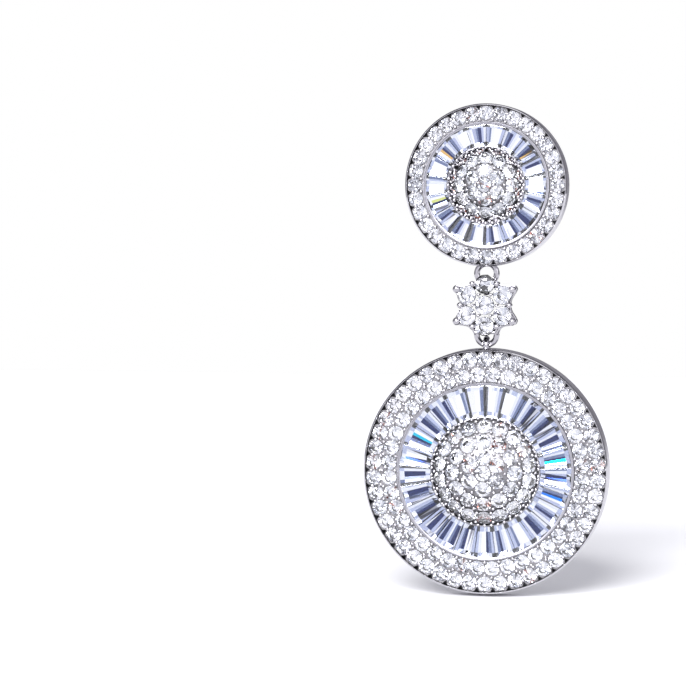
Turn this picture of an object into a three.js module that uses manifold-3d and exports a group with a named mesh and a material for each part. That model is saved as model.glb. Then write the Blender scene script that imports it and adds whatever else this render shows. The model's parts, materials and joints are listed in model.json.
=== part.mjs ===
import * as THREE from 'three';
import { ConvexGeometry } from 'three/addons/geometries/ConvexGeometry.js';
import { mergeVertices } from 'three/addons/utils/BufferGeometryUtils.js';
import Module from 'manifold-3d';

// A two-disc drop earring, in millimetres: Z is up, the front faces -Y and the post points to +Y.
// The origin is on the post's axis, at the back of the stud, where the ear begins.

// Heights within a disc are measured forwards from its back.
const stud = {
  radius: 8.35, depth: 2.8, segments: 48,
  haloInner: 6.52, haloFloor: 1.5, haloEdge: 2.5, haloCrown: 2.65,
  railTop: 2.6, stoneFloor: 1.1, stoneGirdle: 2.15, stoneTable: 2.5, baguettes: 18,
  collarOuter: 3.96, collarTop: 2.7, domeFloor: 1.5, domeEdge: 2.8, domeRise: 1.25, domeSegments: 32,
};
const pendant = {
  radius: 12.65, depth: 3.0, segments: 64,
  haloInner: 9.2, haloFloor: 1.6, haloEdge: 2.7, haloCrown: 2.85,
  railTop: 2.8, stoneFloor: 1.2, stoneGirdle: 2.35, stoneTable: 2.7, baguettes: 25,
  collarOuter: 5.6, collarTop: 2.9, domeFloor: 1.6, domeEdge: 3.0, domeRise: 1.9, domeSegments: 40,
};
const wall = 0.6; // the cups' side wall
const recess = 0.5; // the hollow behind their back plates
const lip = 0.25; // the bezel's width round the paving
const lipDrop = 0.05; // the bezel's inner edge lies this far below its outer edge
const rounding = { back: 0.15, front: 0.1 }; // the broken edges of a cup
const rail = 0.16; // the thin walls between the rings of stones
const setting = 0.04; // clearance between a stone surface and its seat
const bite = 0.2; // how far a soldered ring reaches into a cup's side wall
const domeSteps = 6; // rings of faces on a dome

// How far a tapered stone's keel and table draw in at its ends, and how much less at its sides.
const facet = { keel: 0.3, keelRise: 0.15, table: 0.28, sides: 0.8 };
const bed = { margin: 0.3, thickness: 0.4 }; // the layer that carries a ring of tapered stones

const ring = { radius: 1.02, tube: 0.305, turns: 24, sides: 8 }; // the soldered rings, seen face on
const loop = { radius: 0.72, tube: 0.3, turns: 20, sides: 8 }; // the loops through them, seen edge on
const play = 0.02; // between a ring's wire and a loop's wire
const hook = ring.tube + loop.tube + play; // from a ring's lowest wire up to the loop's top wire

const ringDepth = 1.4; // the rings' plane, forward of the stud's back
const studRingDrop = 0.75; // centre of the stud's ring below its rim
const linkDrop = 3.95; // centre of the link below the stud's rim
const linkRingDrop = 3.1; // centre of the link's ring below the link's centre
const rimPlay = 0.09; // between the link's ring and the pendant's rim
const pendantBalance = 1.43; // the pendant's centre of mass forward of its back

const stone = { radius: 1.02, crown: 0.34, table: 0.58, pavilion: 0.88, girdle: 0.06, segments: 12 };
const cluster = { pitch: 2.15, girdleDepth: 1.95, outer: 3.3, between: 2.52, inner: 1.24 };
const prongs = {
  corner: { wire: 0.24, ball: 0.36 }, between: { wire: 0.2, ball: 0.28 }, inner: { wire: 0.12, ball: 0.17 },
};
const prongRise = 0.14; // centre of a prong's ball above the stones' girdle

// Half widths and heights of the plate under the link's stones, from the link's centre.
const gallery = {
  front: 1.0, back: 0.35, lobe: 0.4, waist: 2.25, top: 2.75, topHalf: 0.8, browHalf: 1.2, swell: 0.1,
  bottom: 3.0, bottomHalf: 1.15, hipHalf: 1.35,
};
const foot = { top: 1.75, topHalf: 0.9, elbow: 2.1, elbowHalf: 1.5 };
const post = {
  radius: 0.4, length: 10.8, pad: 0.9, padDepth: 0.35, padSlope: 0.1, tip: 0.12, segments: 16,
};

const ringPlane = -ringDepth;
const studRingZ = -(stud.radius + studRingDrop);
const linkZ = -(stud.radius + linkDrop);
const linkLoopZ = studRingZ - ring.radius + hook - loop.radius - linkZ; // seen from the link's centre
const lowWireZ = linkZ - linkRingDrop - ring.radius; // the pendant hangs on this wire
const pendantZ = lowWireZ - ring.tube - rimPlay - pendant.radius;

const wasm = await Module();
wasm.setup();

function toSolid(geometry) {
  const bare = new THREE.BufferGeometry();
  bare.setAttribute('position', geometry.getAttribute('position'));
  bare.setIndex(geometry.getIndex());
  const merged = mergeVertices(bare, 1e-5);
  return new wasm.Manifold(new wasm.Mesh({
    numProp: 3,
    vertProperties: Float32Array.from(merged.getAttribute('position').array),
    triVerts: Uint32Array.from(merged.getIndex().array),
  }));
}

function toGeometry(solid) {
  const mesh = solid.getMesh();
  const geometry = new THREE.BufferGeometry();
  geometry.setAttribute('position', new THREE.BufferAttribute(Float32Array.from(mesh.vertProperties), 3));
  geometry.setIndex(new THREE.BufferAttribute(Uint32Array.from(mesh.triVerts), 1));
  geometry.computeVertexNormals();
  return geometry;
}

function joined(geometries) {
  return geometries.map(toSolid).reduce((whole, piece) => whole.add(piece));
}

function piece(name, geometry, finish) {
  const mesh = new THREE.Mesh(geometry, new THREE.MeshStandardMaterial(finish));
  mesh.name = name;
  return mesh;
}

const metal = { color: 0xd4d6db, roughness: 0.12, metalness: 1 };
const brilliant = { color: 0xf4f6fa, roughness: 0.05, metalness: 0 };
const baguette = { color: 0xdce6f4, roughness: 0.04, metalness: 0 };

// Turned shapes stand on the XZ plane, with each profile given as radius and height.
function turned(profile, segments) {
  return new THREE.LatheGeometry(profile.map(([r, h]) => new THREE.Vector2(r, h)), segments);
}

function cup(disc) {
  const { radius, depth, haloInner, collarOuter } = disc;
  const hollow = radius - wall;
  const bezel = radius - lip;
  const railInner = haloInner - rail;
  const collarInner = collarOuter - rail;
  return turned([
    [0, recess], [hollow, recess], [hollow, rounding.front], [hollow + rounding.front, 0],
    [radius - rounding.back, 0], [radius, rounding.back],
    [radius, depth - rounding.back], [radius - rounding.front, depth],
    [bezel, depth - lipDrop], [bezel, disc.haloFloor], [haloInner, disc.haloFloor],
    [haloInner, disc.railTop], [railInner, disc.railTop], [railInner, disc.stoneFloor],
    [collarOuter, disc.stoneFloor], [collarOuter, disc.collarTop], [collarInner, disc.collarTop],
    [collarInner, disc.domeFloor], [0, disc.domeFloor],
  ], disc.segments);
}

function halo(disc) {
  const inner = disc.haloInner + setting;
  const outer = disc.radius - lip - setting;
  const slope = (outer - inner) / 5;
  const low = disc.haloFloor + setting;
  return turned([
    [inner, low], [outer, low], [outer, disc.haloEdge], [outer - slope, disc.haloCrown],
    [inner + slope, disc.haloCrown], [inner, disc.haloEdge], [inner, low],
  ], disc.segments);
}

function dome(disc) {
  const outer = disc.collarOuter - rail - setting;
  const sphere = (outer ** 2 + disc.domeRise ** 2) / (2 * disc.domeRise);
  const spread = Math.asin(outer / sphere);
  const profile = [[0, disc.domeFloor + setting], [outer, disc.domeFloor + setting]];
  for (let i = 0; i <= domeSteps; i += 1) {
    const angle = spread * (1 - i / domeSteps);
    const height = disc.domeEdge + disc.domeRise - sphere * (1 - Math.cos(angle));
    profile.push([sphere * Math.sin(angle), height]);
  }
  return turned(profile, disc.domeSegments);
}

// One tapered baguette: a narrow keel, its girdle, and a step up to the table.
function taperedStone(disc) {
  const half = Math.PI / disc.baguettes;
  const inner = disc.collarOuter + setting;
  const outer = (disc.haloInner - rail - 2 * setting) * Math.cos(half);
  const level = (inset, height) => [inner + inset, outer - inset].flatMap((reach) => {
    const width = reach * Math.tan(half) - setting / 2 - inset * facet.sides;
    return [[-width, height, reach], [width, height, reach]];
  });
  const corners = [
    ...level(facet.keel, disc.stoneFloor + facet.keelRise),
    ...level(0, disc.stoneGirdle),
    ...level(facet.table, disc.stoneTable),
  ];
  return new ConvexGeometry(corners.map((corner) => new THREE.Vector3(...corner)));
}

function baguetteRing(disc) {
  const low = disc.stoneFloor + setting;
  const high = low + bed.thickness;
  const inner = disc.collarOuter + bed.margin;
  const outer = disc.haloInner - rail - bed.margin;
  const layer = turned([[inner, low], [outer, low], [outer, high], [inner, high], [inner, low]],
    disc.baguettes * 2);
  const stones = [];
  for (let i = 0; i < disc.baguettes; i += 1) {
    stones.push(taperedStone(disc).rotateY((i + 0.5) * 2 * Math.PI / disc.baguettes));
  }
  return toGeometry(joined([layer, ...stones]));
}

// A ring lies across the view, its hole towards the front. A loop stands along the view.
function faceRing(x, y, z) {
  return new THREE.TorusGeometry(ring.radius, ring.tube, ring.sides, ring.turns)
    .rotateX(Math.PI / 2).translate(x, y, z);
}

function edgeLoop(x, y, z) {
  return new THREE.TorusGeometry(loop.radius, loop.tube, loop.sides, loop.turns)
    .rotateY(Math.PI / 2).translate(x, y, z);
}

function discPieces(name, disc, frame) {
  return [
    piece(`${name}_frame`, frame, metal),
    piece(`${name}_halo`, halo(disc), brilliant),
    piece(`${name}_baguettes`, baguetteRing(disc), baguette),
    piece(`${name}_dome`, dome(disc), brilliant),
  ];
}

// In a disc's own group Y runs from its back to its front, and Z runs down.
function discGroup(y, z) {
  const group = new THREE.Group();
  group.position.set(0, y, z);
  group.rotation.x = Math.PI;
  return group;
}

function earPost() {
  const { radius, length, pad, padDepth, padSlope, tip } = post;
  const root = recess - setting;
  return turned([
    [0, -length], [radius - tip, -length], [radius, tip - length],
    [radius, root - padDepth - padSlope], [pad, root - padDepth], [pad, root], [0, root],
  ], post.segments);
}

// What is soldered to a cup stops within its side wall, at the given radius from the cup's axis.
function soldered(torus, rim) {
  const size = 6;
  const inside = new THREE.BoxGeometry(size, size, size)
    .translate(0, 0, Math.sign(rim) * (Math.abs(rim) - bite - size / 2));
  return toSolid(torus).subtract(toSolid(inside));
}

function studGroup() {
  const eye = soldered(faceRing(0, ringDepth, -studRingZ), stud.radius);
  const group = discGroup(0, 0);
  group.add(...discPieces('stud', stud, toGeometry(toSolid(cup(stud)).add(eye))));
  group.add(piece('ear_post', earPost(), metal));
  return group;
}

function pendantGroup() {
  const loopZ = pendantZ - (lowWireZ + hook - loop.radius);
  const eye = soldered(edgeLoop(0, pendantBalance, loopZ), -pendant.radius);
  const group = discGroup(ringPlane + pendantBalance, pendantZ);
  group.add(...discPieces('pendant', pendant, toGeometry(toSolid(cup(pendant)).add(eye))));
  return group;
}

// A round stone with its table towards -Y and its girdle on the XZ plane.
function roundStone(grow) {
  const { radius, crown, table, pavilion, girdle } = stone;
  return turned([
    [0, -pavilion - grow * 1.5], [radius + grow, -girdle / 2 - grow], [radius + grow, girdle / 2 + grow],
    [radius * table + grow, crown + grow], [0, crown + grow],
  ], stone.segments).rotateX(Math.PI);
}

function around(count, radius, start) {
  return Array.from({ length: count }, (_, i) => {
    const angle = start + i * 2 * Math.PI / count;
    return [radius * Math.cos(angle), radius * Math.sin(angle)];
  });
}

// A plate with a round lobe under each corner prong and drawn-in sides.
function galleryOutline() {
  const [x, z] = [cluster.outer * Math.cos(Math.PI / 6), cluster.outer / 2];
  const { lobe, waist, top, topHalf, browHalf, swell, bottom, bottomHalf, hipHalf } = gallery;
  const [sideX, sideZ] = [x + lobe * Math.cos(Math.PI / 6), z - lobe / 2];
  const shoulder = z + lobe + swell;
  const outline = new THREE.Shape();
  outline.moveTo(topHalf, top);
  outline.quadraticCurveTo(browHalf, shoulder, x, z + lobe);
  outline.absarc(x, z, lobe, Math.PI / 2, -Math.PI / 6, true);
  outline.quadraticCurveTo(waist, 0, sideX, -sideZ);
  outline.absarc(x, -z, lobe, Math.PI / 6, -Math.PI / 2, true);
  outline.quadraticCurveTo(hipHalf, -shoulder, bottomHalf, -bottom);
  outline.lineTo(-bottomHalf, -bottom);
  outline.quadraticCurveTo(-hipHalf, -shoulder, -x, -z - lobe);
  outline.absarc(-x, -z, lobe, -Math.PI / 2, -Math.PI * 7 / 6, true);
  outline.quadraticCurveTo(-waist, 0, -sideX, sideZ);
  outline.absarc(-x, z, lobe, Math.PI * 7 / 6, Math.PI / 2, true);
  outline.quadraticCurveTo(-browHalf, shoulder, -topHalf, top);
  return outline;
}

function plate(outline, back, thickness) {
  const options = { depth: thickness, bevelEnabled: false, curveSegments: 5 };
  return new THREE.ExtrudeGeometry(outline, options).rotateX(Math.PI / 2).translate(0, back, 0);
}

// The thick foot between the gallery and the ring soldered below it.
function galleryFoot() {
  const outline = new THREE.Shape();
  outline.moveTo(-foot.elbowHalf, -foot.elbow);
  outline.lineTo(-gallery.bottomHalf, -gallery.bottom);
  outline.lineTo(gallery.bottomHalf, -gallery.bottom);
  outline.lineTo(foot.elbowHalf, -foot.elbow);
  outline.lineTo(foot.topHalf, -foot.top);
  outline.lineTo(-foot.topHalf, -foot.top);
  return plate(outline, 0, gallery.front);
}

function prong([x, z], { wire, ball }) {
  const from = -(gallery.front + gallery.back) / 2;
  const to = -(cluster.girdleDepth + prongRise);
  const shank = new THREE.CylinderGeometry(wire, wire, from - to, 8).translate(x, (from + to) / 2, z);
  const tip = new THREE.SphereGeometry(ball, 8, 6).translate(x, to, z);
  return [shank, tip];
}

function clusterCentres() {
  return [[0, 0], ...around(6, cluster.pitch, Math.PI / 2)];
}

function linkFrame() {
  const corners = around(6, cluster.outer, Math.PI / 6).filter(([x]) => Math.abs(x) > 0.1);
  const frame = joined([
    plate(galleryOutline(), -gallery.back, gallery.front - gallery.back),
    galleryFoot(),
    edgeLoop(0, 0, linkLoopZ),
    faceRing(0, 0, -linkRingDrop),
    ...corners.flatMap((at) => prong(at, prongs.corner)),
    ...around(6, cluster.between, 0).flatMap((at) => prong(at, prongs.between)),
    ...around(6, cluster.inner, 0).flatMap((at) => prong(at, prongs.inner)),
  ]);
  const bore = ring.radius - ring.tube;
  const hole = new THREE.CylinderGeometry(bore, bore, 4, ring.turns).translate(0, 0, -linkRingDrop);
  const seats = clusterCentres().map(([x, z]) => roundStone(setting)
    .translate(x, -cluster.girdleDepth, z));
  const open = seats.map(toSolid).reduce((whole, seat) => whole.subtract(seat), frame);
  return toGeometry(open.subtract(toSolid(hole)));
}

function linkGroup() {
  const group = new THREE.Group();
  group.position.set(0, ringPlane, linkZ);
  group.add(piece('link_frame', linkFrame(), metal));
  clusterCentres().forEach(([x, z], i) => {
    const mesh = piece(`link_stone_${i + 1}`, roundStone(0), brilliant);
    mesh.position.set(x, -cluster.girdleDepth, z);
    group.add(mesh);
  });
  return group;
}

const earring = new THREE.Group();
earring.add(studGroup(), linkGroup(), pendantGroup());

export default earring;
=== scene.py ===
import bpy
import bmesh
import json
import math
import random
from mathutils import Matrix, Vector


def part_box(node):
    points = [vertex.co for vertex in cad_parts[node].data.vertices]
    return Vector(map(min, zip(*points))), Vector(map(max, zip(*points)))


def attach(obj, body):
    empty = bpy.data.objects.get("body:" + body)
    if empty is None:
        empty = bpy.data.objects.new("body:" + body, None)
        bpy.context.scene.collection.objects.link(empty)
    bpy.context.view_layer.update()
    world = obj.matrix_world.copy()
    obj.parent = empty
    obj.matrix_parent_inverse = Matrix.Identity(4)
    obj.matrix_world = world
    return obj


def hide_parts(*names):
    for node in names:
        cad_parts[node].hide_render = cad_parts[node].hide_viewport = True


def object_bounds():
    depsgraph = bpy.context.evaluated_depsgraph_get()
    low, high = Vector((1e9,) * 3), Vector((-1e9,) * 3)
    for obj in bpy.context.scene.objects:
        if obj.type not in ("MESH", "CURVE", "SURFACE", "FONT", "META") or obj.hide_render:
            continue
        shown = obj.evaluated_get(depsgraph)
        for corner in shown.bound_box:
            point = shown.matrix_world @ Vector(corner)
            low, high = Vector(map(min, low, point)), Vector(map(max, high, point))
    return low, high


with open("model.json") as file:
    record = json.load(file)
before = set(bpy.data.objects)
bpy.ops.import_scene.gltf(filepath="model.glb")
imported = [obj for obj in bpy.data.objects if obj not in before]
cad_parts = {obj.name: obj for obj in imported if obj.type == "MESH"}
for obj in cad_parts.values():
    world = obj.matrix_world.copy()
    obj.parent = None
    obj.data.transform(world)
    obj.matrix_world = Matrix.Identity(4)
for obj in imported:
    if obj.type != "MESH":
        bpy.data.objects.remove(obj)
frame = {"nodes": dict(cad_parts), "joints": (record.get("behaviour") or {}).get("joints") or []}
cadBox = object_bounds()
print("frame loaded,", len(frame["nodes"]), "nodes")

mm = 0.001  # everything below is modelled in millimetres and set down in metres
scene = bpy.context.scene
luck = random.Random(7)
pivots = {joint["name"]: Vector(joint["pos_m"]) for joint in frame["joints"]}

# the camera's angles in degrees, and its aim and the width of its view in metres
view = {"azimuth": 10.0, "elevation": 3.0, "lens": 150, "width": 0.0707,
        "aimX": -0.0148, "aimY": -0.0015, "aimZ": -0.01625}
studio = {
    "floorGap": 0.0003, "floorSize": 0.7, "floorTone": (0.92, 0.92, 0.94),
    "lamps": [("key", 4.4, 28, (-0.12, -0.95, 0.55)), ("fill", 0.4, 40, (0.9, -0.7, 0.35)),
              ("top", 0.55, 50, (0.1, 0.1, 1.0))],
    "tentScale": 2.6, "tentDetail": 1.0, "tentTurn": (0, 90, 0), "darkUpTo": 0.40, "brightFrom": 0.50,
    "dark": (0.07, 0.07, 0.10, 1), "bright": (1.15, 1.14, 1.22, 1),
    "behind": (0.17, 0.165, 0.19, 1), "ambient": (0.34, 0.34, 0.38, 1),
    "mostShare": 0.9, "dimFrom": -0.3, "dimTo": 0.25, "frontFrom": 0.80, "frontTo": 0.93,
}


def makeCamera():
    data = bpy.data.cameras.new("camera")
    data.lens = view["lens"]
    camera = bpy.data.objects.new("camera", data)
    scene.collection.objects.link(camera)
    turn, rise = math.radians(view["azimuth"]), math.radians(view["elevation"])
    away = Vector((math.sin(turn) * math.cos(rise), -math.cos(turn) * math.cos(rise), math.sin(rise)))
    right = Vector((math.cos(turn), math.sin(turn), 0))
    aim = right * view["aimX"] + Vector((0, view["aimY"], view["aimZ"]))
    distance = view["width"] * view["lens"] / data.sensor_width
    camera.location = aim + away * distance
    camera.rotation_euler = (-away).to_track_quat("-Z", "Y").to_euler()
    data.clip_start, data.clip_end = 0.01, 20
    scene.camera = camera


def makeLight(name, strength, spread, direction):
    data = bpy.data.lights.new(name, "SUN")
    data.energy, data.angle = strength, math.radians(spread)
    lamp = bpy.data.objects.new(name, data)
    scene.collection.objects.link(lamp)
    lamp.rotation_euler = (-Vector(direction)).to_track_quat("-Z", "Y").to_euler()


def makeFloor(finish):
    bm = bmesh.new()
    bmesh.ops.create_grid(bm, x_segments=1, y_segments=1, size=studio["floorSize"] / 2)
    bmesh.ops.translate(bm, verts=bm.verts, vec=(0, 0, cadBox[0].z - studio["floorGap"]))
    mesh = bpy.data.meshes.new("floor")
    bm.to_mesh(mesh)
    bm.free()
    floor = bpy.data.objects.new("floor", mesh)
    scene.collection.objects.link(floor)
    floor.data.materials.append(finish)


def makeWorld():
    # a light tent with dark patches, dimmest straight behind the earring, and plain white to the camera
    world = bpy.data.worlds.new("lightTent")
    scene.world = world
    world.use_nodes = True
    nodes, links = world.node_tree.nodes, world.node_tree.links
    nodes.clear()
    place = nodes.new("ShaderNodeTexCoord")
    turned = nodes.new("ShaderNodeMapping")
    turned.inputs["Rotation"].default_value = [math.radians(angle) for angle in studio["tentTurn"]]
    links.new(place.outputs["Generated"], turned.inputs["Vector"])
    noise = nodes.new("ShaderNodeTexNoise")
    noise.inputs["Scale"].default_value = studio["tentScale"]
    noise.inputs["Detail"].default_value = studio["tentDetail"]
    links.new(turned.outputs["Vector"], noise.inputs["Vector"])
    ramp = nodes.new("ShaderNodeValToRGB")
    ramp.color_ramp.elements[0].position = studio["darkUpTo"]
    ramp.color_ramp.elements[0].color = studio["dark"]
    ramp.color_ramp.elements[1].position = studio["brightFrom"]
    ramp.color_ramp.elements[1].color = studio["bright"]
    links.new(noise.outputs["Fac"], ramp.inputs["Fac"])
    azimuth = math.radians(view["azimuth"])

    def shareToward(sign, low, high):
        along = nodes.new("ShaderNodeVectorMath")
        along.operation = "DOT_PRODUCT"
        along.inputs[1].default_value = (-sign * math.sin(azimuth), sign * math.cos(azimuth), 0)
        links.new(place.outputs["Generated"], along.inputs[0])
        share = nodes.new("ShaderNodeMapRange")
        for socket, value in {"From Min": low, "From Max": high, "To Max": studio["mostShare"]}.items():
            share.inputs[socket].default_value = value
        links.new(along.outputs["Value"], share.inputs["Value"])
        return share.outputs["Result"]

    rays = nodes.new("ShaderNodeLightPath")
    colour = ramp.outputs["Color"]
    for factor, other in ((shareToward(1, studio["dimFrom"], studio["dimTo"]), studio["behind"]),
                          (shareToward(-1, studio["frontFrom"], studio["frontTo"]), studio["bright"]),
                          (rays.outputs["Is Diffuse Ray"], studio["ambient"]),
                          (rays.outputs["Is Camera Ray"], (1, 1, 1, 1))):
        mix = nodes.new("ShaderNodeMix")
        mix.data_type = "RGBA"
        mix.inputs["B"].default_value = other
        links.new(factor, mix.inputs["Factor"])
        links.new(colour, mix.inputs["A"])
        colour = mix.outputs["Result"]
    glow = nodes.new("ShaderNodeBackground")
    links.new(colour, glow.inputs["Color"])
    end = nodes.new("ShaderNodeOutputWorld")
    links.new(glow.outputs["Background"], end.inputs["Surface"])


def shaderFor(name, **settings):
    material = bpy.data.materials.new(name)
    material.use_nodes = True
    shader = material.node_tree.nodes["Principled BSDF"]
    for socket, value in settings.items():
        shader.inputs[socket.replace("_", " ")].default_value = value
    return material, shader


def addNode(material, kind, **inputs):
    node = material.node_tree.nodes.new(kind)
    for socket, value in inputs.items():
        node.inputs[socket].default_value = value
    return node


def rhodium(name, colour, gloss, scale):
    # plated metal: fine haze over a flat polish
    material, shader = shaderFor(name, Metallic=1.0, Base_Color=(*colour, 1))
    place = addNode(material, "ShaderNodeTexCoord")
    haze = addNode(material, "ShaderNodeTexNoise", Scale=scale, Detail=3.0)
    spread = addNode(material, "ShaderNodeMapRange", **{"To Min": gloss[0], "To Max": gloss[1]})
    material.node_tree.links.new(place.outputs["Object"], haze.inputs["Vector"])
    material.node_tree.links.new(haze.outputs["Fac"], spread.inputs["Value"])
    material.node_tree.links.new(spread.outputs["Result"], shader.inputs["Roughness"])
    return material


def clearStone(name, colour, bend):
    material, shader = shaderFor(name, Base_Color=colour, Roughness=0.0, IOR=bend)
    shader.inputs["Transmission Weight"].default_value = 1.0
    return material


def mirrorFacets(name):
    material, shader = shaderFor(name, Metallic=1.0, Roughness=0.02)
    tint = addNode(material, "ShaderNodeAttribute")
    tint.attribute_name = "fire"
    material.node_tree.links.new(tint.outputs["Color"], shader.inputs["Base Color"])
    return material


def paleFloor():
    material, shader = shaderFor("paleFloor", Roughness=0.8, Base_Color=(*studio["floorTone"], 1))
    shader.inputs["Specular IOR Level"].default_value = 0.0
    return material


def finishPiece(name, bm, body, finishes, place, standsFor=(), smooth=None):
    bmesh.ops.transform(bm, matrix=place @ Matrix.Scale(mm, 4), verts=bm.verts)
    mesh = bpy.data.meshes.new(name)
    bm.to_mesh(mesh)
    bm.free()
    for finish in finishes:
        mesh.materials.append(finish)
    if smooth is not None:
        mesh.shade_smooth()
        mesh.set_sharp_from_angle(angle=math.radians(smooth))
    piece = bpy.data.objects.new(name, mesh)
    scene.collection.objects.link(piece)
    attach(piece, body)
    if standsFor:
        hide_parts(*standsFor)


def keepShape(bm, name):
    mesh = bpy.data.meshes.new(name)
    bm.to_mesh(mesh)
    bm.free()
    return mesh


def scattered(shape, places, bm=None):
    bm = bm or bmesh.new()
    for place in places:
        before = len(bm.verts)
        bm.from_mesh(shape)
        bm.verts.ensure_lookup_table()
        bmesh.ops.transform(bm, matrix=place, verts=bm.verts[before:])
    return bm


def spunProfile(profile, steps):
    # turns (radius, height) points round the disc's own line
    bm = bmesh.new()
    verts = [bm.verts.new((radius, -height, 0)) for radius, height in profile]
    edges = [bm.edges.new(pair) for pair in zip(verts, verts[1:])]
    if profile[0][0] > 0:
        edges.append(bm.edges.new((verts[-1], verts[0])))
    bmesh.ops.spin(bm, geom=verts + edges, cent=(0, 0, 0), axis=(0, 1, 0), angle=2 * math.pi,
                   steps=steps, use_merge=True, use_duplicate=False)
    bmesh.ops.remove_doubles(bm, verts=bm.verts, dist=1e-5)
    bmesh.ops.recalc_face_normals(bm, faces=bm.faces)
    return bm


def seat(radius, angle, height, lean=0.0, spin=0.0):
    # a place on a disc, its angle clockwise from the top; a stone there leans outwards
    return (Matrix.Rotation(angle, 4, "Y") @ Matrix.Translation((0, -height, radius))
            @ Matrix.Rotation(math.pi / 2 - lean, 4, "X") @ Matrix.Rotation(spin, 4, "Z"))


def facing(direction):
    return direction.to_track_quat("Z", "Y").to_matrix().to_4x4()


def wireRing(radius, wireRadius, across, centre):
    # across is the axis that runs through the ring's hole
    bm = bmesh.new()
    side = Vector((0, 0, 1))
    start = Matrix.Translation(side * radius) @ facing(Vector(across).cross(side))
    made = bmesh.ops.create_circle(bm, segments=16, radius=wireRadius, matrix=start)
    edges = list(dict.fromkeys(edge for vert in made["verts"] for edge in vert.link_edges))
    bmesh.ops.spin(bm, geom=made["verts"] + edges, cent=(0, 0, 0), axis=across, angle=2 * math.pi,
                   steps=48, use_merge=True, use_duplicate=False)
    bmesh.ops.remove_doubles(bm, verts=bm.verts, dist=1e-5)
    bmesh.ops.recalc_face_normals(bm, faces=bm.faces)
    bmesh.ops.translate(bm, verts=bm.verts, vec=centre)
    return bm


def piercedSheet(outer, steps, holes):
    # a round flat sheet on the disc's plane, with a round hole for each stone
    bm = bmesh.new()
    flat = Matrix.Rotation(math.pi / 2, 4, "X")
    bmesh.ops.create_circle(bm, segments=steps, radius=outer, matrix=flat)
    for reach, angle, radius in holes:
        middle = Matrix.Translation((reach * math.sin(angle), 0, reach * math.cos(angle)))
        bmesh.ops.create_circle(bm, segments=12, radius=radius, matrix=middle @ flat)
    bmesh.ops.triangle_fill(bm, use_beauty=True, use_dissolve=False, edges=bm.edges[:], normal=(0, -1, 0))
    return bm


def piercedRow(inner, outer, count, radius, hole, offset=0.0, notch=0.0, stretch=1.0):
    # one row of a flat bed, made of equal wedges with a hole in each; a notch opens the outer corners
    half = math.pi / count
    outside = [(outer, 1), (outer, 0), (outer, -1)]
    if notch:
        outside = [(outer - notch, 1), (outer, 0.66), (outer, 0), (outer, -0.66), (outer - notch, -1)]
    cell = bmesh.new()
    verts = []
    for reach, side in [(inner, -1), (inner, 0), (inner, 1)] + outside:
        verts.append(cell.verts.new((reach * math.sin(half * side), 0, reach * math.cos(half * side))))
    for i, vert in enumerate(verts):
        cell.edges.new((vert, verts[i - 1]))
    middle = (Matrix.Translation((0, 0, radius)) @ Matrix.Rotation(math.pi / 2, 4, "X")
              @ Matrix.Diagonal((1, stretch, 1, 1)))
    bmesh.ops.create_circle(cell, segments=12, radius=hole, matrix=middle)
    bmesh.ops.triangle_fill(cell, use_beauty=True, use_dissolve=False, edges=cell.edges[:], normal=(0, -1, 0))
    turns = [Matrix.Rotation((i + offset) * 2 * half, 4, "Y") for i in range(count)]
    return scattered(keepShape(cell, "bedCell"), turns)


def thicken(bm, lower):
    # gives a sheet its underside; lower maps a point of the face to the one below it
    below = bmesh.ops.extrude_face_region(bm, geom=bm.faces[:])["geom"]
    for vert in below:
        if isinstance(vert, bmesh.types.BMVert):
            vert.co = lower(vert.co)
    bmesh.ops.recalc_face_normals(bm, faces=bm.faces)
    return bm


def closedRow(bm, lift, lower, *row, **more):
    # each row is merged and closed by itself, because corners that two rows share would join their walls
    sheet = piercedRow(*row, **more)
    bmesh.ops.remove_doubles(sheet, verts=sheet.verts, dist=1e-4)
    bmesh.ops.translate(sheet, verts=sheet.verts, vec=(0, lift, 0))
    bm.from_mesh(keepShape(thicken(sheet, lower), "closedRow"))


def bar(bm, start, end, wide, narrow):
    # a round bar or cone from one point to another
    start, end = Vector(start), Vector(end)
    middle = Matrix.Translation((start + end) / 2) @ facing(end - start)
    bmesh.ops.create_cone(bm, cap_ends=True, segments=12, radius1=wide, radius2=narrow,
                          depth=(end - start).length, matrix=middle)


def ball(bm, centre, radius):
    bmesh.ops.create_uvsphere(bm, u_segments=16, v_segments=10, radius=radius,
                              matrix=Matrix.Translation(centre))


# the round stone's cut, in shares of its width; tilt is how unevenly it sits, in radians
brilliantCut = {"table": 0.285, "star": 0.385, "crown": 0.155, "lower": 0.12, "culet": 0.43,
                "edge": 0.462, "edgeDrop": 0.06, "tilt": 0.03}


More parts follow.
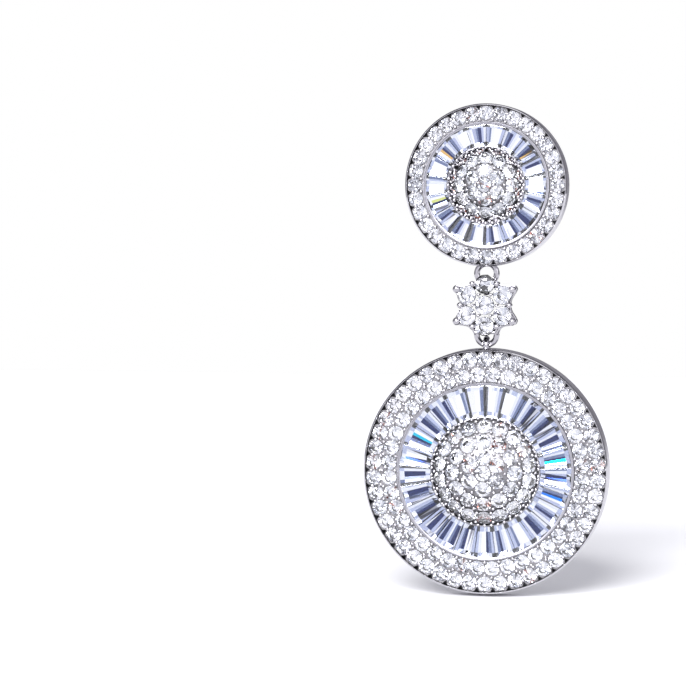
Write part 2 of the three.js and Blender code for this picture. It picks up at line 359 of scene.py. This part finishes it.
def brilliant():
    # finishes: 0 the clear crown, 1 the lower facets with their painted tones, 2 the band under the girdle in
    # nearly black painted shade
    cut = brilliantCut
    crownSlope = cut["crown"] / (0.5 - cut["table"])
    keelSlope = cut["culet"] / 0.5
    half = math.pi / 8
    starHeight = cut["crown"] - crownSlope * (cut["star"] * math.cos(half) - cut["table"])
    lowerHeight = -cut["culet"] + keelSlope * cut["lower"] * math.cos(half)
    bm = bmesh.new()
    rings = [(8, cut["table"], cut["crown"], 0), (8, cut["star"], starHeight, half), (16, 0.5, 0, 0),
             (16, cut["edge"], -cut["edgeDrop"], 0), (8, cut["lower"], lowerHeight, half)]
    for count, radius, height, turn in rings:
        bmesh.ops.create_circle(bm, segments=count, radius=radius,
                                matrix=Matrix.Translation((0, 0, height)) @ Matrix.Rotation(turn, 4, "Z"))
    bm.verts.new((0, 0, -cut["culet"]))
    bmesh.ops.delete(bm, geom=bm.edges[:], context="EDGES_FACES")
    bmesh.ops.convex_hull(bm, input=bm.verts[:])
    bmesh.ops.dissolve_limit(bm, angle_limit=math.radians(1.5), verts=bm.verts[:], edges=bm.edges[:])
    bmesh.ops.recalc_face_normals(bm, faces=bm.faces)
    for face in bm.faces:
        height = face.calc_center_median().z
        face.material_index = 0 if height > 0 else 2 if height > -cut["edgeDrop"] else 1
    return keepShape(bm, "brilliant")


def bead(radius, shank):
    # a ball on a short stalk, its centre at the origin
    bm = bmesh.new()
    bmesh.ops.create_uvsphere(bm, u_segments=8, v_segments=6, radius=radius)
    made = bmesh.ops.create_cone(bm, cap_ends=True, segments=6, radius1=radius * 0.7, radius2=radius * 0.7,
                                 depth=shank)
    bmesh.ops.translate(bm, verts=made["verts"], vec=(0, 0, -shank / 2))
    return keepShape(bm, "bead")


def giveFire(bm, chances):
    # every facet gets a tone, which only the mirror facets show: painted reflections of many brightnesses and
    # a few painted coloured glints
    layer = bm.faces.layers.float_color.new("fire")
    tones, weights = zip(*chances)
    for face in bm.faces:
        face[layer] = (*luck.choices(tones, weights)[0], 1)


# how often a facet gets each painted tone: bright, grey and dark painted reflections and a few brown-red
# painted glints
paveFire = [((0.97, 0.97, 0.98), 60), ((0.78, 0.80, 0.84), 22), ((0.45, 0.46, 0.5), 12),
            ((0.12, 0.12, 0.14), 5), ((0.3, 0.1, 0.07), 1)]
linkFire = [((0.97, 0.97, 0.98), 62), ((0.78, 0.80, 0.84), 26), ((0.45, 0.46, 0.5), 9),
            ((0.22, 0.22, 0.26), 3)]
moatFire = [((0.3, 0.13, 0.1), 1), ((0.45, 0.42, 0.43), 3), ((0.85, 0.84, 0.87), 5)]
# the baguettes' strip tones: painted reflections, from clear to navy, and painted colour flashes
stepTones = {"clear": (0.96, 0.96, 0.98), "white": (0.82, 0.83, 0.87), "pale": (0.5, 0.54, 0.7),
             "steel": (0.18, 0.22, 0.36), "navy": (0.012, 0.025, 0.12), "blue": (0.0, 0.22, 0.85),
             "cyan": (0.0, 0.55, 0.75), "gold": (0.8, 0.5, 0.16), "lemon": (0.75, 0.78, 0.25)}


def rowOfStones(width, radius, count, height, offset=0.0, lean=0.0):
    places = []
    tilt = brilliantCut["tilt"]
    for i in range(count):
        angle = (i + offset) * 2 * math.pi / count
        spin = luck.uniform(0, math.pi / 4)
        tip = Matrix.Rotation(luck.gauss(0, tilt), 4, "X") @ Matrix.Rotation(luck.gauss(0, tilt), 4, "Y")
        places.append(seat(radius, angle, height, lean, spin) @ tip @ Matrix.Scale(width, 4))
    return places


def rowOfBeads(radius, count, height, offset=0.5, lean=0.0):
    return [seat(radius, (i + offset) * 2 * math.pi / count, height, lean) for i in range(count)]


# a baguette's cut: room at its ends, its thin edge, where its underside is cut across, how far out and how
# deep its lengthwise ridges lie, and the crown's steps (inset, rise and inset of the ends)
stepCut = {"innerRoom": 0.05, "outerRoom": 0.07, "edge": 0.02, "deepFrom": 0.4, "deepTo": 1.3,
           "ends": (0.17, 0.84), "ridges": [(0.72, 0.32), (0.42, 0.68), (0.12, 1.0)],
           "crown": [(0.03, 0.03, 0.02), (0.06, 0.02, 0.05)], "strips": 7}


def taperedBaguette(inner, outer, halfAngle, girdle, depth):
    # a step-cut stone on the disc's upright line: widest outwards, its underside cut in lengthwise ridges
    bm = bmesh.new()
    bmesh.ops.create_cube(bm, size=2, matrix=Matrix.Translation((0, 0, 1)))
    ridges = [(across * luck.uniform(0.88, 1.12), drop * luck.uniform(0.85, 1.1))
              for across, drop in stepCut["ridges"]]
    cuts = [((side * across, 0, 0), (1, 0, 0)) for across, _ in ridges for side in (1, -1)]
    cuts += [((0, 0, 2 * share), (0, 0, 1)) for share in stepCut["ends"]]
    for point, normal in cuts:
        faces = [face for face in bm.faces if face.calc_center_median().y > 0.99]
        geom = list(dict.fromkeys(part for face in faces for part in (*face.verts, *face.edges, face)))
        bmesh.ops.bisect_plane(bm, geom=geom, plane_co=point, plane_no=normal, dist=1e-5)
    steps = sorted(ridges) + [(1.0, 0.0)]
    for vert in bm.verts:
        across, share = abs(vert.co.x), vert.co.z / 2
        drop = 0.0
        if vert.co.y > 0 and across < 0.99 and 0.01 < share < 0.99:
            drop = depth * next(level for reach, level in steps if across <= reach + 1e-3)
        reach = inner + share * (outer - inner)
        width = reach * math.tan(halfAngle) - metalWork["stoneGap"] / 2
        vert.co = (vert.co.x * width, -girdle + math.copysign(stepCut["edge"], vert.co.y) + drop, reach)
    top = min(bm.faces, key=lambda face: face.calc_center_median().y)
    middle = (inner + outer) / 2
    for inset, rise, endInset in stepCut["crown"]:
        bmesh.ops.inset_region(bm, faces=[top], thickness=inset, depth=0, use_even_offset=True)
        for vert in top.verts:
            vert.co += Vector((0, -rise, -math.copysign(endInset, vert.co.z - middle)))
    bmesh.ops.recalc_face_normals(bm, faces=bm.faces)
    for face in bm.faces:
        face.material_index = 1 if face.calc_center_median().y > -girdle + 0.03 else 0
    return keepShape(bm, "baguette")


# the discs in millimetres, heights counted forwards from the back of the frame
# a row of stones is its count, radius and width; plain, lined and flashes number the baguettes; moat is how
# many small stones lie round the dome; a back row is its count, radius, hole and the hole's stretch
stud = {
    "name": "stud", "radius": 8.35, "depth": 2.8, "steps": 96,
    "haloInner": 6.52, "haloFloor": 1.5, "railTop": 2.6, "stoneFloor": 1.1,
    "collarOuter": 3.96, "collarTop": 2.5, "domeFloor": 1.5, "domeEdge": 2.2, "domeRise": 1.85,
    "rows": [(32, 7.36, 1.46)], "paveTable": 2.66,
    "baguettes": 18, "baguetteGirdle": 2.3, "baguetteDepth": 0.62,
    "plain": (0, 4, 9, 13, 14, 16), "lined": (1, 3, 5, 7, 8, 10, 11, 17),
    "flashes": {2: "gold", 12: "lemon", 15: "gold"},
    "domeRows": 3, "domePitch": 1.58, "domeStone": 1.5, "moat": 12, "backRows": [(12, 2.75, 0.45, 1.0)],
}
pendant = {
    "name": "pendant", "radius": 12.65, "depth": 3.0, "steps": 128,
    "haloInner": 9.2, "haloFloor": 1.6, "railTop": 2.8, "stoneFloor": 1.2,
    "collarOuter": 5.6, "collarTop": 2.66, "domeFloor": 1.6, "domeEdge": 3.0, "domeRise": 1.9,
    "rows": [(46, 11.6, 1.56), (40, 10.02, 1.56)], "paveTable": 2.86,
    "baguettes": 25, "baguetteGirdle": 2.5, "baguetteDepth": 0.72,
    "plain": (0, 1, 10, 23, 24), "lined": (8, 11, 12, 13, 19),
    "flashes": {5: "cyan", 7: "blue", 20: "cyan"},
    "domeRows": 4, "domePitch": 1.72, "domeStone": 1.63, "moat": 0,
    "backRows": [(18, 4.6, 0.45, 1.0), (12, 3.1, 0.45, 1.0)],
}
metalWork = {"wall": 0.6, "ease": 0.03, "gap": 0.04, "recess": 0.5, "lip": 0.18, "rail": 0.13,
             "bevel": 0.08, "lit": 0.45, "bedGap": 0.05, "bedDrop": 0.12, "pocket": 0.4, "stoneGap": 0.012}
# how deep a baguette's underside is cut, and the painted tones of its seven lengthwise strips, which stand
# for its reflections and colour flashes
stepCuts = {
    "plain": (0.12, [("pale", "clear", "clear", "clear", "clear", "steel", "pale"),
                     ("clear", "clear", "clear", "clear", "white", "pale", "steel")]),
    "lined": (0.2, [("white", "clear", "pale", "steel", "navy", "pale", "white"),
                    ("pale", "white", "clear", "clear", "navy", "steel", "pale"),
                    ("white", "steel", "navy", "pale", "white", "clear", "pale")]),
    "striped": (0.2, [("pale", "white", "white", "steel", "navy", "navy", "pale"),
                      ("white", "pale", "steel", "navy", "navy", "white", "pale"),
                      ("pale", "white", "navy", "navy", "pale", "white", "steel"),
                      ("white", "navy", "steel", "white", "pale", "navy", "pale")]),
    "flash": (0.2, [("pale", "clear", "flash", "navy", "steel", "white", "pale"),
                    ("pale", "white", "steel", "navy", "flash", "clear", "pale")]),
}


def discPlace(disc):
    low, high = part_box(disc["name"] + "_halo")
    middle = (low + high) / 2
    return Matrix.Translation((middle.x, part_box(disc["name"] + "_frame")[1].y, middle.z))


def makeCup(disc, finishes):
    wall, recess, lip, rail = (metalWork[key] for key in ("wall", "recess", "lip", "rail"))
    bevel, ease, lit = (metalWork[key] for key in ("bevel", "ease", "lit"))
    radius, depth, haloInner, collar = disc["radius"], disc["depth"], disc["haloInner"], disc["collarOuter"]
    railTop, collarTop, seatTop = disc["railTop"], disc["collarTop"], disc["baguetteGirdle"] + 0.12
    profile = [
        (0, recess), (radius - wall, recess), (radius - wall, bevel), (radius - wall + bevel, 0),
        (radius - bevel, 0), (radius - bevel * 0.3, bevel * 0.3), (radius, bevel), (radius, depth - 0.26),
        (radius - 0.08, depth - 0.07), (radius - 0.13, depth), (radius - lip + 0.02, depth),
        (radius - lip, depth - ease), (radius - lip, depth - lit), (radius - lip, disc["haloFloor"]),
        (haloInner, disc["haloFloor"]), (haloInner, railTop - lit), (haloInner, railTop - ease),
        (haloInner - ease, railTop), (haloInner - rail + ease, railTop), (haloInner - rail, railTop - ease),
        (haloInner - rail - 0.02, seatTop), (haloInner - rail - 0.16, seatTop - ease),
        (haloInner - rail - 0.12, seatTop - 0.12), (haloInner - rail - 0.04, disc["stoneFloor"]),
        (collar + 0.04, disc["stoneFloor"]), (collar + 0.06, seatTop - 0.12), (collar + 0.09, seatTop - ease),
        (collar + 0.01, seatTop), (collar, collarTop - ease),
        (collar - ease, collarTop), (collar - rail + 0.09, collarTop),
        (collar - rail + 0.06, collarTop - ease),
        (collar - rail, collarTop - lit), (collar - rail, disc["domeFloor"]), (0, disc["domeFloor"]),
    ]
    bm = spunProfile(profile, disc["steps"])
    # finishes: 0 polished, 1 dull metal in painted shade under the stones, 2 satin side and back, 3 the halo
    # floor in nearly black painted shade, 4 the rails in satin darkened by painted shade
    for face in bm.faces:
        middle = face.calc_center_median()
        height, reach = -middle.y, math.hypot(middle.x, middle.z)
        inFront = recess + 0.02 < height < railTop - lit + 0.01 and reach < radius - lip + 0.02
        satin = reach > radius - 0.01 or abs(height - recess) < 0.01
        rim = height > seatTop - ease and reach < haloInner
        face.material_index = 4 if rim else 2 if satin else 0
        # faces in the hollows, below the lit band under the rims, get painted shade
        if inFront:
            face.material_index = 3 if reach > haloInner else 1
    finishPiece(disc["name"] + "_cup", bm, disc["name"], finishes, discPlace(disc),
                [disc["name"] + "_frame"], smooth=18)


# a bead is its ball's radius and its stalk's length; reaches and the hole are shares of a stone's width, and
# lifts are above its girdle
paving = {"rimBead": (0.22, 0.9), "rimReach": 0.15, "rimLift": 0.16, "bead": (0.18, 0.9), "beadLift": 0.12,
          "outerReach": 0.44, "innerReach": 0.42, "hole": 0.46}


def makeHalo(disc, cutStone, metal, shade, paintedShadeMetal, stoneFinish):
    name = disc["name"]
    stones, big, small = [], [], []
    for row, (count, radius, width) in enumerate(disc["rows"]):
        height = disc["paveTable"] - brilliantCut["crown"] * width
        beadHeight = height + paving["beadLift"]
        stones += rowOfStones(width, radius, count, height, offset=0.5 * row)
        offset = 0.5 + 0.5 * row
        if row == 0:
            big += rowOfBeads(radius + width * paving["rimReach"], count, height + paving["rimLift"], offset)
        else:
            small += rowOfBeads(radius + width * paving["outerReach"], count, beadHeight, offset)
        small += rowOfBeads(radius - width * paving["innerReach"], count, beadHeight, offset)
    outer = disc["radius"] - metalWork["lip"] - metalWork["bedGap"]
    floor = -disc["haloFloor"] - metalWork["gap"]
    bm = bmesh.new()
    for row, (count, radius, width) in enumerate(disc["rows"]):
        last = row == len(disc["rows"]) - 1
        height = disc["paveTable"] - brilliantCut["crown"] * width
        inner = disc["haloInner"] + metalWork["gap"] if last else (radius + disc["rows"][row + 1][1]) / 2
        closedRow(bm, metalWork["bedDrop"] - height, lambda point: Vector((point.x, floor, point.z)),
                  inner, outer, count, radius, paving["hole"] * width, 0.5 * row,
                  0 if row else metalWork["pocket"])
        outer = inner
    # the bed's top is dull metal in painted shade, and its walls, seen in the pockets at the rim and round
    # the stones, are nearly black painted shade
    for face in bm.faces:
        face.material_index = 1 if abs(face.normal.y) < 0.5 else 0
    finishPiece(name + "_pave_bed", bm, name, [shade, paintedShadeMetal], discPlace(disc), smooth=18)
    bm = scattered(cutStone, stones)
    giveFire(bm, paveFire)
    finishPiece(name + "_pave", bm, name, stoneFinish, discPlace(disc), [name + "_halo"])
    bm = scattered(bead(*paving["rimBead"]), big)
    bm = scattered(bead(*paving["bead"]), small, bm)
    finishPiece(name + "_pave_beads", bm, name, [metal], discPlace(disc), smooth=50)


def makeBaguettes(disc, stoneFinish):
    # the lower facets carry painted reflections: plain stones are nearly white; the others have a painted
    # dark or coloured wedge along them, for dark reflections and colour flashes
    name, half = disc["name"], math.pi / disc["baguettes"]
    inner = disc["collarOuter"] + stepCut["innerRoom"]
    outer = (disc["haloInner"] - metalWork["rail"] - stepCut["outerRoom"]) * math.cos(half)
    bm = bmesh.new()
    fire = bm.faces.layers.float_color.new("fire")
    for i in range(disc["baguettes"]):
        flash = disc["flashes"].get(i)
        kind = "flash" if flash else next((sort for sort in ("plain", "lined") if i in disc[sort]), "striped")
        deep, patterns = stepCuts[kind]
        depth = disc["baguetteDepth"] * deep * luck.uniform(stepCut["deepFrom"], stepCut["deepTo"])
        before = len(bm.faces)
        shape = taperedBaguette(inner, outer, half, disc["baguetteGirdle"], depth)
        scattered(shape, [Matrix.Rotation((i + 0.5) * 2 * half, 4, "Y")], bm)
        bm.faces.ensure_lookup_table()
        lower = [face for face in bm.faces[before:] if face.material_index == 1]
        for face in lower:
            face[fire] = (*stepTones[luck.choice(("white", "pale"))], 1)
        angle = (2 * i + 1) * half
        across = Vector((math.cos(angle), 0, -math.sin(angle))) * luck.choice((-1, 1))
        strips = sorted(lower, key=lambda face: face.calc_area())[-stepCut["strips"]:]
        strips.sort(key=lambda face: face.calc_center_median().dot(across))
        for face, tone in zip(strips, luck.choice(patterns)):
            face[fire] = (*stepTones[flash if tone == "flash" else tone], 1)
    finishPiece(name + "_baguette_stones", bm, name, stoneFinish, discPlace(disc),
                [name + "_baguettes"])


# places up the dome are in steps from one row of stones to the next; tiltRoom is a share of a stone's width
doming = {"tiltRoom": 0.012, "bead": (0.19, 0.7), "beadLift": 0.05, "outerBeads": 0.62, "innerBeads": 0.36,
          "collarBead": (0.2, 0.7), "collarInset": 0.06, "hole": 0.465,
          "moatBead": (0.23, 0.5), "moatBeads": 2.84, "moatBeadLift": 0.02,
          "moatStone": (0.56, 0.34, 0.16), "moatStones": 2.66, "moatDrop": 0.02,
          "facetOrder": (0.31, 0.57, 1.0)}


def makeDome(disc, cutStone, metal, shade, facets, stoneFinish):
    name, edge, rise = disc["name"], disc["domeEdge"], disc["domeRise"]
    outer = disc["collarOuter"] - metalWork["rail"] - metalWork["gap"]
    sphere = (outer ** 2 + rise ** 2) / (2 * rise)
    centre = edge + rise - sphere
    width = disc["domeStone"]
    step = disc["domePitch"] / sphere
    # a tilted table stays under the dome's top
    girdle = sphere - (brilliantCut["crown"] + doming["tiltRoom"]) * width
    counts = [max(1, 6 * row) for row in range(disc["domeRows"])]

    def onDome(count, lean, lift):
        reach = girdle + lift
        return rowOfBeads(reach * math.sin(lean), count, centre + reach * math.cos(lean), lean=lean)

    stones, beads = [], []
    for row, count in enumerate(counts):
        lean = step * row
        height = centre + girdle * math.cos(lean)
        stones += rowOfStones(width, girdle * math.sin(lean), count, height, lean=lean)
        beads += onDome(6 * (row + 1), lean + step * doming["outerBeads"], doming["beadLift"])
        if row:
            beads += onDome(count, lean + step * doming["innerBeads"], doming["beadLift"])
    bm = scattered(cutStone, stones)
    giveFire(bm, paveFire)
    finishPiece(name + "_dome_stones", bm, name, stoneFinish, discPlace(disc), [name + "_dome"])
    bm = scattered(bead(*doming["bead"]), beads)
    inset = doming["collarInset"]
    collarBeads = rowOfBeads(disc["collarOuter"] - inset, 2 * disc["baguettes"], disc["collarTop"] + inset,
                             offset=0.0)
    bm = scattered(bead(*doming["collarBead"]), collarBeads, bm)
    if disc["moat"]:
        moatBeads = onDome(3 * disc["moat"], step * doming["moatBeads"], doming["moatBeadLift"])
        bm = scattered(bead(*doming["moatBead"]), moatBeads, bm)
    finishPiece(name + "_dome_beads", bm, name, [metal], discPlace(disc), smooth=50)
    if disc["moat"]:
        bm = bmesh.new()
        bmesh.ops.create_uvsphere(bm, u_segments=10, v_segments=6, radius=1)
        # a new sphere's facets come in no fixed order, and tones are drawn one facet after another
        bm.faces.sort(key=lambda face: face.calc_center_median().dot(doming["facetOrder"]))
        places = [place @ Matrix.Diagonal((*doming["moatStone"], 1))
                  for place in onDome(disc["moat"], step * doming["moatStones"], -doming["moatDrop"])]
        bm = scattered(keepShape(bm, "moatStone"), places)
        giveFire(bm, moatFire)
        finishPiece(name + "_moat_stones", bm, name, [facets], discPlace(disc))
    shell = girdle - metalWork["bedDrop"]
    holes = [(step * row, i * 2 * math.pi / count, doming["hole"] * width / girdle)
             for row, count in enumerate(counts) for i in range(count)]
    # the shell is pierced flat, with a lean for each reach, and then wrapped over the dome
    bm = piercedSheet(math.asin(outer / shell), disc["steps"] // 2, holes)
    for vert in bm.verts:
        lean = math.hypot(vert.co.x, vert.co.z)
        reach = shell * math.sin(lean) / max(lean, 1e-6)
        vert.co = (vert.co.x * reach, -centre - shell * math.cos(lean), vert.co.z * reach)
    thicken(bm, lambda point: Vector((point.x, -disc["domeFloor"] - metalWork["gap"], point.z)))
    # the shell between the stones is dull metal in painted shade
    finishPiece(name + "_dome_shell", bm, name, [shade], discPlace(disc), smooth=30)


# the back plate's round holes, its slots (a share of the baguettes' length) and the rim past its last row
backPlate = {"hole": 0.36, "inwards": 0.12, "slot": 0.5, "slotShare": 0.3, "rim": 0.35,
             "lift": 0.02, "thick": 0.12}


def makeBackPlate(disc, satinMetal):
    # the pierced plate in the back recess: a hole behind every halo stone, a slot behind every baguette, and
    # plain rows of holes behind the dome
    name, slot = disc["name"], backPlate["slot"]
    rows = [(count, radius - backPlate["inwards"], backPlate["hole"], 1.0)
            for count, radius, _ in disc["rows"]]
    slotRadius = (disc["collarOuter"] + disc["haloInner"]) / 2
    baguetteLength = disc["haloInner"] - disc["collarOuter"]
    rows += [(disc["baguettes"], slotRadius, slot, backPlate["slotShare"] * baguetteLength / slot)]
    rows += disc["backRows"]
    bm = bmesh.new()
    outer = disc["radius"] - metalWork["wall"] - metalWork["gap"]
    lift = backPlate["lift"] - metalWork["recess"]

    def behind(point):
        return point + Vector((0, backPlate["thick"], 0))

    for row, (count, radius, hole, stretch) in enumerate(rows):
        inner = radius - hole * stretch
        if row == len(rows) - 1:
            inner -= backPlate["rim"]
        else:
            _, nextRadius, nextHole, nextStretch = rows[row + 1]
            inner = (inner + (nextRadius + nextHole * nextStretch)) / 2
        closedRow(bm, lift, behind, inner, outer, count, radius, hole, stretch=stretch)
        outer = inner
    centre = bmesh.new()
    bmesh.ops.create_circle(centre, cap_ends=True, segments=48, radius=outer,
                            matrix=Matrix.Translation((0, lift, 0)) @ Matrix.Rotation(math.pi / 2, 4, "X"))
    bm.from_mesh(keepShape(thicken(centre, behind), "plateCentre"))
    finishPiece(name + "_back_plate", bm, name, [satinMetal], discPlace(disc), smooth=18)


# the connecting rings: radius, the wire's own radius, their plane and how far from a disc's centre they lie
wire = {"ring": 1.02, "ringWire": 0.305, "loop": 0.72, "loopWire": 0.3, "plane": 1.4,
        "studRing": 9.1, "pendantLoop": 12.95}
# the link: its outline's corners are x, z and rounding; a plate is its back, front, width and scale; a ring
# of prongs is its count, radius, first angle, shank and tip; a strut is its two ends and their radii
link = {
    "girdle": 1.95, "pitch": 2.15, "stone": 1.97, "loopRise": 2.085, "ringDrop": 3.1, "seed": 29,
    "outline": [(0.85, 2.78, 0.15), (1.2, 2.15, 0.3), (2.72, 2.1, 0.1), (3.12, 2.0, 0.15),
                (3.3, 1.65, 0.15), (3.14, 1.3, 0.15), (2.3, 0.0, 0.9), (3.14, -1.3, 0.15),
                (3.3, -1.65, 0.15), (3.12, -2.0, 0.15), (2.72, -2.1, 0.1), (1.6, -2.25, 0.5),
                (1.15, -3.0, 0.2)],
    "plates": [(0.35, 1.0, 0.62, 1.0), (1.5, 1.78, 0.24, 0.965)],
    "collet": [(0.42, 0.95), (0.56, 0.95), (1.0, 1.82), (0.93, 1.88)],
    "prongs": [(6, 3.3, 30, 0.27, 0.41), (6, 2.52, 0, 0.22, 0.31), (6, 1.24, 0, 0.12, 0.17)],
    "prongFoot": 0.6, "prongRise": 0.14,
    "struts": [((1.35, -0.62, -1.9), (1.02, -0.2, -3.0), 0.42, 0.28),
               ((1.3, -0.62, -2.0), (0.2, -0.3, -2.3), 0.38, 0.3)],
    "stem": ((0, -0.6, 1.2), (0, -0.25, 1.6), 0.35, 0.35),
}
post = {"radius": 0.4, "length": 10.8, "tip": 0.12, "pad": 0.9, "padDepth": 0.35, "root": 0.46}


def linkPlace():
    low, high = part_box("link_stone_1")
    middle = (low + high) / 2
    return Matrix.Translation((middle.x, pivots["link_swing"].y, middle.z))


def starPlate(bm, back, front, frameWidth, scale):
    # the gallery's flat frame: round corners and drawn-in sides
    right = link["outline"]
    corners = right + [(-x, z, rounding) for x, z, rounding in reversed(right)]
    made = bmesh.new()
    verts = [made.verts.new((x * scale, -back, z * scale)) for x, z, _ in corners]
    made.faces.new(verts)
    for vert, (_, _, rounding) in zip(verts, corners):
        bmesh.ops.bevel(made, geom=[vert], offset=rounding, offset_type="OFFSET", affect="VERTICES",
                        segments=5, profile=0.5, material=-1, clamp_overlap=True)
    middle = made.faces[:]
    bmesh.ops.inset_region(made, faces=middle, thickness=frameWidth, depth=0, use_even_offset=True,
                           use_boundary=True)
    bmesh.ops.delete(made, geom=middle, context="FACES")
    walls = bmesh.ops.extrude_face_region(made, geom=made.faces[:])["geom"]
    bmesh.ops.translate(made, verts=[part for part in walls if isinstance(part, bmesh.types.BMVert)],
                        vec=(0, back - front, 0))
    bmesh.ops.recalc_face_normals(made, faces=made.faces)
    sharp = [edge for edge in made.edges if edge.calc_face_angle(0) > 1.3]
    bmesh.ops.bevel(made, geom=sharp, offset=0.1, offset_type="OFFSET", affect="EDGES", segments=2,
                    profile=0.5, material=-1, clamp_overlap=True)
    bmesh.ops.dissolve_degenerate(made, dist=1e-4, edges=made.edges[:])
    # the plate's side walls take the second finish, nearly black painted shade
    for face in made.faces:
        face.material_index = 1 if abs(face.normal.y) < 0.8 else 0
    bm.from_mesh(keepShape(made, "starPlate"))


def makeGallery(metal, paintedShadeMetal):
    centres = [seat(0, 0, 0)] + [seat(link["pitch"], i * math.pi / 3, 0) for i in range(6)]
    collet = keepShape(spunProfile(link["collet"], 20), "collet")
    bm = scattered(collet, [Matrix.Translation(centre.translation) for centre in centres])
    # the collets round the stones are nearly black painted shade, for dark outlines between the stones
    for face in bm.faces:
        face.material_index = 1
    for plate in link["plates"]:
        starPlate(bm, *plate)
    foot, front = -link["prongFoot"], -link["girdle"] - link["prongRise"]
    for count, radius, start, shank, tip in link["prongs"]:
        for i in range(count):
            angle = math.radians(start + i * 360 / count)
            x, z = radius * math.cos(angle), radius * math.sin(angle)
            if tip > 0.3 and abs(x) < 0.1:
                continue  # the two connecting rings hang straight above and below
            bar(bm, (x, foot, z), (x, front, z), shank, shank)
            ball(bm, (x, front, z), tip)
    for side in (-1, 1):
        for start, end, wide, narrow in link["struts"]:
            bar(bm, (side * start[0], *start[1:]), (side * end[0], *end[1:]), wide, narrow)
    bar(bm, *link["stem"])
    for ring in (wireRing(wire["loop"], wire["loopWire"], (1, 0, 0), (0, 0, link["loopRise"])),
                 wireRing(wire["ring"], wire["ringWire"], (0, 1, 0), (0, 0, -link["ringDrop"]))):
        bm.from_mesh(keepShape(ring, "ring"))
    finishPiece("link_gallery", bm, "link", [metal, paintedShadeMetal], linkPlace(), ["link_frame"],
                smooth=35)


def makeLinkStones(cutStone, stoneFinish):
    luck.seed(link["seed"])
    nodeCentres = {number: sum(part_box(f"link_stone_{number}"), Vector()) / 2 for number in range(1, 8)}
    places = rowOfStones(link["stone"], 0, 1, link["girdle"])
    places += rowOfStones(link["stone"], link["pitch"], 6, link["girdle"])
    for i, place in enumerate(places, 1):
        bm = scattered(cutStone, [place])
        giveFire(bm, linkFire)
        middle = linkPlace() @ Vector((place.translation.x * mm, 0, place.translation.z * mm))
        nearest = min(nodeCentres, key=lambda number: (nodeCentres[number] - middle).xz.length)
        finishPiece(f"link_brilliant_{i}", bm, "link", stoneFinish, linkPlace(),
                    [f"link_stone_{nearest}"])


def makeRings(metal):
    bm = wireRing(wire["ring"], wire["ringWire"], (0, 1, 0), (0, -wire["plane"], -wire["studRing"]))
    finishPiece("stud_ring", bm, "stud", [metal], discPlace(stud), smooth=60)
    low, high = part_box("pendant_halo")
    bm = wireRing(wire["loop"], wire["loopWire"], (1, 0, 0), (0, 0, wire["pendantLoop"]))
    place = Matrix.Translation((0, pivots["pendant_swing"].y, (low.z + high.z) / 2))
    finishPiece("pendant_loop", bm, "pendant", [metal], place, smooth=60)


def makePost(metal):
    radius, length, tip, pad, root = (post[key] for key in ("radius", "length", "tip", "pad", "root"))
    padBack = root - post["padDepth"]
    profile = [(0, -length), (radius - tip, -length), (radius - tip * 0.3, -length + tip * 0.3),
               (radius, tip - length), (radius, padBack - 0.1), (radius + 0.04, padBack - 0.04),
               (pad - 0.05, padBack), (pad, padBack + 0.05), (pad, root), (0, root)]
    bm = spunProfile(profile, 32)
    finishPiece("stud_post", bm, "stud", [metal], discPlace(stud), ["ear_post"], smooth=32)


# each metal's colour, least and most roughness, and how fine its haze is
metal = rhodium("rhodiumPolish", (0.62, 0.61, 0.64), (0.03, 0.11), 900.0)
# a darker copy of the polish, with a finer polish: painted shade for the dark outlines of the rings and the
# link
wireMetal = rhodium("rhodiumWire", (0.5, 0.49, 0.52), (0.01, 0.05), 900.0)
satinMetal = rhodium("rhodiumSatin", (0.62, 0.61, 0.64), (0.26, 0.4), 1400.0)
# a darker copy of the satin metal: painted shade on the rails and collar tops
railMetal = rhodium("rhodiumRail", (0.43, 0.425, 0.465), (0.22, 0.36), 1400.0)
# dull metal whose dark colour is painted shade, for the floors under the stones and the bed and shell between
# them
shade = rhodium("unpolishedFloorPaintedShade", (0.26, 0.255, 0.27), (0.3, 0.5), 2600.0)
roundGlass = clearStone("clearBrilliant", (0.98, 0.985, 1.0, 1), 2.15)
stepGlass = clearStone("clearBaguette", (0.92, 0.95, 1.0, 1), 1.65)
facets = mirrorFacets("lowerFacets")
# nearly black metal, painted shade: the dark outlines on the halo floors, the beds' walls, the band under
# each round stone's girdle and the link's cups and plate edges
paintedShadeMetal = rhodium("paintedShadeMetal", (0.05, 0.05, 0.055), (0.25, 0.35), 2600.0)
roundFinish = [roundGlass, facets, paintedShadeMetal]
cutStone = brilliant()

makeCamera()
makeWorld()
makeFloor(paleFloor())
for lamp in studio["lamps"]:
    makeLight(*lamp)
print("camera, light and floor made")

for disc in (stud, pendant):
    makeCup(disc, [metal, shade, satinMetal, paintedShadeMetal, railMetal])
    makeHalo(disc, cutStone, metal, shade, paintedShadeMetal, roundFinish)
    makeBaguettes(disc, [stepGlass, facets])
    makeDome(disc, cutStone, metal, shade, facets, roundFinish)
    makeBackPlate(disc, satinMetal)
    print(disc["name"], "disc made")

makeRings(wireMetal)
makePost(metal)
makeGallery(wireMetal, paintedShadeMetal)
makeLinkStones(cutStone, roundFinish)
print("rings, post and link made")

scene.view_settings.view_transform = "Standard"
